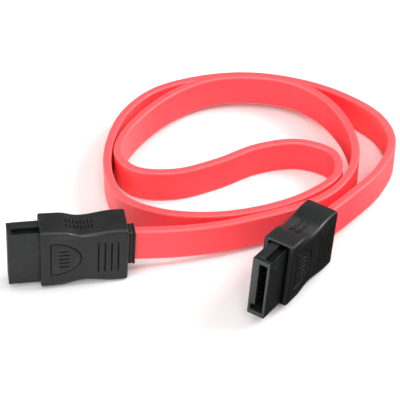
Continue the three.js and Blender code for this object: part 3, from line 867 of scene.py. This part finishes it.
class CABLE_OT_hoods(bpy.types.Operator):
    """Makes the moulded hood of each plug, with its grip grooves, D-shaped outline, bars and ticks"""
    bl_idname = "cable.hoods"
    bl_label = "Hoods"

    def execute(self, context):
        settings = context.scene.cable_hood
        mark = (settings.mark_width, settings.mark_depth)
        cutters = {
            "Groove": self.cutter(settings.groove_length, settings.groove_width, settings.groove_depth),
            "Bar": self.cutter(settings.bar_length, *mark, "Y"),
            "Tick": self.cutter(settings.tick_length, *mark, "X"),
            "Outline": hidden_object("cutter", panel_cutter(settings)),
        }
        tree = relief_tree()
        for side in SIDES:
            material = self.material(side, settings)
            piece = new_piece(f"{side}_grip_hood", hood_body(settings), material)
            add_nodes(
                piece, tree, **cutters, Material=material,
                Tilt=math.atan2(HOOD_DEEP_FRONT - HOOD_DEEP_REAR, HOOD_LENGTH),
                Grooves=settings.grooves, Groove_Pitch=settings.groove_pitch / MM,
                Groove_Place=self.on_face(HOOD_REAR + GRIP_FIRST, GRIP_RISE),
                Bars=settings.bars, Bar_Pitch=settings.bar_pitch / MM,
                Bar_Place=self.on_face(HOOD_FRONT - BARS_FROM_FRONT, PANEL_RISE),
                Ticks=settings.ticks, Tick_Pitch=settings.tick_pitch / MM,
                Tick_Row_Gap=settings.tick_row_gap / MM,
                Tick_Place=(HOOD_FRONT - TICKS_FROM_FRONT, 0, 2 * HOOD_HALF_FRONT),
                Outline_Place=self.on_face(HOOD_FRONT - PANEL_FROM_FRONT, PANEL_RISE))
            applied(piece)
            if not piece.data.polygons:
                raise RuntimeError("the hood came out empty")
            shade(piece.data, 30)
            plug_piece(piece, side, f"{side}_hood")
        for helper in cutters.values():
            bpy.data.objects.remove(helper)
        return {"FINISHED"}

    def cutter(self, length, width, depth, turned_about=None):
        """A hidden groove cutter, from sizes in metres."""
        bm = groove_cutter(length / MM, width / MM, depth / MM)
        if turned_about:
            turn = Matrix.Rotation(math.pi / 2, 3, turned_about)
            bmesh.ops.rotate(bm, verts=bm.verts, matrix=turn)
        return hidden_object("cutter", bm)

    def on_face(self, along, up):
        return (along, hood_depth(along), up)

    def material(self, side, settings):
        """The long edges are polished smoother, most of all at the waist, and painted paler there as a
        highlight. The right top at the waist is rougher and painted paler as a lit patch, and the front face
        is painted paler as a lit face."""
        shader = Shader(f"{side}_hood_plastic")
        along, across, up = shader.plug_point(side)
        # The long edges at the waist: this mask lowers the roughness and also paints them paler, as a painted
        # highlight
        edge = shader.ramp(across.absolute(), *LONG_EDGE_ACROSS) * shader.ramp(up.absolute(), *LONG_EDGE_UP)
        polish = edge * (1 - shader.ramp((along - WAIST_EDGE_MIDDLE).absolute(), *WAIST_EDGE_FADES))
        # On the right plug's top at the waist: rougher, and painted paler as a lit patch
        top_patch = 1 - shader.ramp((along - TOP_PATCH_MIDDLE).absolute(), *TOP_PATCH_FADES)
        rough_lit_patch = TOP_PATCH_STRENGTH[side] * top_patch * shader.ramp(up, *TOP_PATCH_UP)
        # Painted light: the hood's front face turns paler as a lit face
        front = HOOD_FRONT_PAINTED_LIGHT * shader.ramp(along, *HOOD_FRONT_FACE)
        return moulded_plastic(shader, settings.colour, settings.worn_and_lit_colour, settings.roughness, 5200,
                               polish - TOP_PATCH_ROUGHENING * rough_lit_patch, polish.larger(rough_lit_patch).larger(front))


# Collar


class CABLE_OT_collars(bpy.types.Operator):
    """Makes the collar that the ribbon leaves each plug by"""
    bl_idname = "cable.collars"
    bl_label = "Collars"

    def execute(self, context):
        settings = context.scene.cable_hood
        material = moulded_plastic(
            Shader("collar_plastic"), settings.colour, settings.worn_and_lit_colour, settings.roughness + 0.08, 4200)
        skin = (*COLLAR_RIM, *COLLAR_VALLEY, *COLLAR_RIB, *COLLAR_SHANK, *COLLAR_BORE)
        for side in SIDES:
            bm = bmesh.new()
            loft(bm, [rounded_ring(*ring) for ring in skin], closed=True)
            piece = new_piece(f"{side}_collar", bm, material)
            plug_piece(piece, side, f"{side}_strain_relief")
        return {"FINISHED"}


# Nose


def refined_copy(node, name, material, width, smooth_angle=30):
    """A copy of one of the solids with merged points, clean faces and softened edges."""
    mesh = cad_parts[node].data.copy()
    bm = bmesh.new()
    bm.from_mesh(mesh)
    bpy.data.meshes.remove(mesh)
    bmesh.ops.remove_doubles(bm, verts=bm.verts, dist=1e-6)
    bmesh.ops.dissolve_limit(bm, angle_limit=math.radians(0.5), verts=bm.verts, edges=bm.edges)
    piece = new_piece(name, bm, material, smooth_angle)
    bevel = piece.modifiers.new("edges", "BEVEL")
    bevel.width = width
    bevel.segments = 2
    bevel.limit_method = "ANGLE"
    bevel.angle_limit = math.radians(40)
    bevel.use_clamp_overlap = True
    applied(piece)
    shade(piece.data, smooth_angle)
    return piece


class NoseSettings(bpy.types.PropertyGroup):
    edge_width: bpy.props.FloatProperty(
        name="Edge width", description="Width of the softened edges", default=0.00009, unit="LENGTH")
    colour: bpy.props.FloatVectorProperty(
        name="Colour", description="Colour of the insulating plastic", subtype="COLOR",
        default=(0.0055, 0.0059, 0.0067))
    # Paler colour: scuffed patches at random, and the front face painted paler as light
    worn_and_lit_colour: bpy.props.FloatVectorProperty(
        name="Rubbed colour", description="Colour of its paler patches", subtype="COLOR",
        default=(0.033, 0.0355, 0.0345))
    plating_colour: bpy.props.FloatVectorProperty(
        name="Plating colour", description="Colour of the plated contacts", subtype="COLOR",
        default=(0.22, 0.23, 0.2))
    wire_colour: bpy.props.FloatVectorProperty(
        name="Wire colour", description="Colour of the tinned wire ends", subtype="COLOR",
        default=(0.75, 0.72, 0.68))


class CABLE_OT_noses(bpy.types.Operator):
    """Makes the slotted nose of each plug"""
    bl_idname = "cable.noses"
    bl_label = "Noses"

    def execute(self, context):
        settings = context.scene.cable_nose
        for side in SIDES:
            node = f"{side}_housing"
            material = self.material(side, settings)
            stand_for(refined_copy(node, f"{side}_nose", material, settings.edge_width), node)
        return {"FINISHED"}

    def material(self, side, settings):
        """The front face is painted paler as a lit face, and the key groove is painted dark inside as shade.
        """
        shader = Shader(f"{side}_nose_plastic")
        along, across, up = shader.plug_point(side)
        groove = shader.between(up, *KEY_GROOVE_UP) * shader.between(across, *KEY_GROOVE_ACROSS)
        shader.shade_recess(groove * (1 - shader.ramp(along, *KEY_GROOVE_ENDS)))
        # Painted light: the nose's front face turns paler as a lit face
        front = shader.ramp(along, *NOSE_FRONT_FACE)
        return moulded_plastic(shader, settings.colour, settings.worn_and_lit_colour, 0.42, 6000, 0.0, front)


class CABLE_OT_metal(bpy.types.Operator):
    """Gives the contacts and the wire ends their metal"""
    bl_idname = "cable.metal"
    bl_label = "Contacts and wires"

    def execute(self, context):
        settings = context.scene.cable_nose
        plating = plated_metal("contact_plating", settings.plating_colour, 0.28)
        tin = plated_metal("tinned_wire", settings.wire_colour, 0.36)
        for name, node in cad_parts.items():
            for word, material in (("_contact_", plating), ("_conductor_", tin)):
                if word in name:
                    node.data.materials.clear()
                    node.data.materials.append(material)
        return {"FINISHED"}


# Stage


class StageSettings(bpy.types.PropertyGroup):
    focal_pixels: bpy.props.FloatProperty(
        name="Focal length", description="Focal length in pixels of a picture 400 pixels wide",
        default=1421)
    distance: bpy.props.FloatProperty(
        name="Distance", description="Camera to the middle of the loops", default=0.34, unit="LENGTH")
    elevation: bpy.props.FloatProperty(
        name="Elevation", description="How far the camera looks down", default=math.radians(41.2),
        subtype="ANGLE")
    mirrored_left: bpy.props.FloatVectorProperty(
        name="Mirrored floor, left", description="The floor's colour as the plastic mirrors it on the left",
        subtype="COLOR", default=(0.60, 0.60, 0.61))
    mirrored_right: bpy.props.FloatVectorProperty(
        name="Mirrored floor, right", description="The same on the right, where the room is darker",
        subtype="COLOR", default=(0.03, 0.03, 0.032))
    floor_glow: bpy.props.FloatProperty(
        name="Floor glow", description="How far the distant floor's white is lifted for the camera",
        default=0.6, min=0)
    sky_bright: bpy.props.FloatProperty(
        name="Bright sky", description="Strength of the sky at the front left", default=0.92, min=0)
    sky_dim: bpy.props.FloatProperty(
        name="Dim sky", description="Strength of the sky at the back right", default=0.44, min=0)
    beam: bpy.props.FloatProperty(
        name="Dark beam", description="Share of the sky's light left high behind the cable", default=0.25,
        min=0, max=1)
    overhead: bpy.props.FloatProperty(
        name="Overhead lamp", description="Power of the soft lamp above", default=1.05, min=0)
    front: bpy.props.FloatProperty(
        name="Front lamp", description="Power of the soft lamp beside the camera", default=1.8, min=0)
    rim: bpy.props.FloatProperty(
        name="Rim lamps", description="Power of the small lamps that draw the hoods' edges",
        default=0.5, min=0)


class CABLE_OT_camera(bpy.types.Operator):
    """Sets the camera at the photograph's viewpoint"""
    bl_idname = "cable.camera"
    bl_label = "Camera"

    def execute(self, context):
        settings = context.scene.cable_stage
        camera = bpy.data.cameras.new("camera")
        camera.sensor_width = SENSOR_WIDTH
        camera.lens = settings.focal_pixels * SENSOR_WIDTH / PICTURE_WIDTH
        camera.clip_start = 0.01
        seat = bpy.data.objects.new("camera", camera)
        back = Vector((0, -math.cos(settings.elevation), math.sin(settings.elevation)))
        seat.location = LOOPS_TO_ORIGIN * MM + back * settings.distance
        seat.rotation_euler = (math.pi / 2 - settings.elevation, 0, 0)
        context.scene.collection.objects.link(seat)
        context.scene.camera = seat
        return {"FINISHED"}


def soft_lamp(name, place, aim, size, power):
    light = bpy.data.lights.new(name, "AREA")
    light.shape = "DISK"
    light.size = size
    light.energy = power
    lamp = bpy.data.objects.new(name, light)
    lamp.location = place
    lamp.rotation_euler = (Vector(aim) - Vector(place)).to_track_quat("-Z", "Y").to_euler()
    bpy.context.scene.collection.objects.link(lamp)


class CABLE_OT_stage(bpy.types.Operator):
    """Lays the white floor and sets the soft lamps and the sky"""
    bl_idname = "cable.stage"
    bl_label = "Floor and light"

    def execute(self, context):
        settings = context.scene.cable_stage
        bm = bmesh.new()
        bmesh.ops.create_grid(bm, x_segments=1, y_segments=1, size=FLOOR_HALF)
        new_piece("floor", bm, self.floor_material(settings))
        middle = LOOPS_TO_ORIGIN * MM
        for name, place, size, setting, share in LAMPS:
            soft_lamp(name, middle + Vector(place), middle, size, share * getattr(settings, setting))
        world = bpy.data.worlds.new("studio")
        world.use_nodes = True
        self.shape_sky(world.node_tree, settings)
        context.scene.world = world
        context.scene.view_settings.view_transform = "Standard"
        return {"FINISHED"}

    def floor_material(self, settings):
        """White, a little less so for the camera, and lifted to a plain white far from the cable. In the
        plastic's sheen it darkens toward the right, as the studio does."""
        shader = Shader("white_floor")
        ray = shader.node("ShaderNodeLightPath")
        rightward = shader.ramp(shader.parts(shader.point)["X"], *MIRRORED_FADES)
        distance = shader.node("ShaderNodeVectorMath", {"operation": "LENGTH"}, {0: shader.point})["Value"]
        mirrored = shader.blend(rightward, (*settings.mirrored_left, 1), (*settings.mirrored_right, 1))
        lighting = shader.blend(ray["Is Glossy Ray"], FLOOR_WHITE, mirrored)
        far = ray["Is Camera Ray"] * shader.ramp(distance, *FAR_FLOOR)
        shader.set(
            Base_Color=shader.blend(ray["Is Camera Ray"], lighting, FLOOR_SEEN),
            Roughness=0.6,
            Specular_IOR_Level=0.15,
            Emission_Color=shader.blend(far, (0, 0, 0, 1), FLOOR_WHITE),
            Emission_Strength=settings.floor_glow,
        )
        return shader.material

    def shape_sky(self, tree, settings):
        """White for the camera. For the cable it is brightest at the front left, where the studio's window
        is, with a dark beam high behind."""
        sky = Nodes(tree)
        direction = sky.node("ShaderNodeTexCoord")["Generated"]
        bright = sky.ramp(sky.dot(direction, SKY_BRIGHT_SIDE), -1, 1, settings.sky_dim, settings.sky_bright,
                          "LINEAR")
        beam = sky.ramp(sky.dot(direction, SKY_BEAM), *SKY_BEAM_FADES, 1, settings.beam, "LINEAR")
        seen = sky.node("ShaderNodeLightPath")["Is Camera Ray"]
        background = tree.nodes["Background"].inputs
        strength = sky.node("ShaderNodeMix", None, {0: seen, 2: bright * beam, 3: 1})[0]
        sky.feed(background["Strength"], strength)
        sky.feed(background["Color"], (1, 1, 1, 1))


# Panel and registration

STEPS = (
    CABLE_OT_camera, CABLE_OT_ribbon, CABLE_OT_hoods, CABLE_OT_collars, CABLE_OT_noses, CABLE_OT_metal,
    CABLE_OT_stage,
)
SETTINGS = (
    (RibbonSettings, "cable_ribbon"), (HoodSettings, "cable_hood"), (NoseSettings, "cable_nose"),
    (StageSettings, "cable_stage"),
)


class CABLE_PT_panel(bpy.types.Panel):
    """Lists the steps that make the cable"""
    bl_label = "Data Cable"
    bl_idname = "CABLE_PT_panel"
    bl_space_type = "VIEW_3D"
    bl_region_type = "UI"
    bl_category = "Data Cable"

    def draw(self, context):
        for step in STEPS:
            self.layout.operator(step.bl_idname)


def register():
    """Registers the settings and the steps."""
    for group, name in SETTINGS:
        bpy.utils.register_class(group)
        setattr(bpy.types.Scene, name, bpy.props.PointerProperty(type=group))
    for step in (*STEPS, CABLE_PT_panel):
        bpy.utils.register_class(step)


def unregister():
    for step in reversed((*STEPS, CABLE_PT_panel)):
        bpy.utils.unregister_class(step)
    for group, name in reversed(SETTINGS):
        delattr(bpy.types.Scene, name)
        bpy.utils.unregister_class(group)


def main():
    """Makes the cable and its stage."""
    register()
    bpy.ops.cable.camera()
    bpy.ops.cable.ribbon()
    bpy.ops.cable.hoods()
    bpy.ops.cable.collars()
    bpy.ops.cable.noses()
    bpy.ops.cable.metal()
    bpy.ops.cable.stage()


if __name__ == "__main__":
    main()
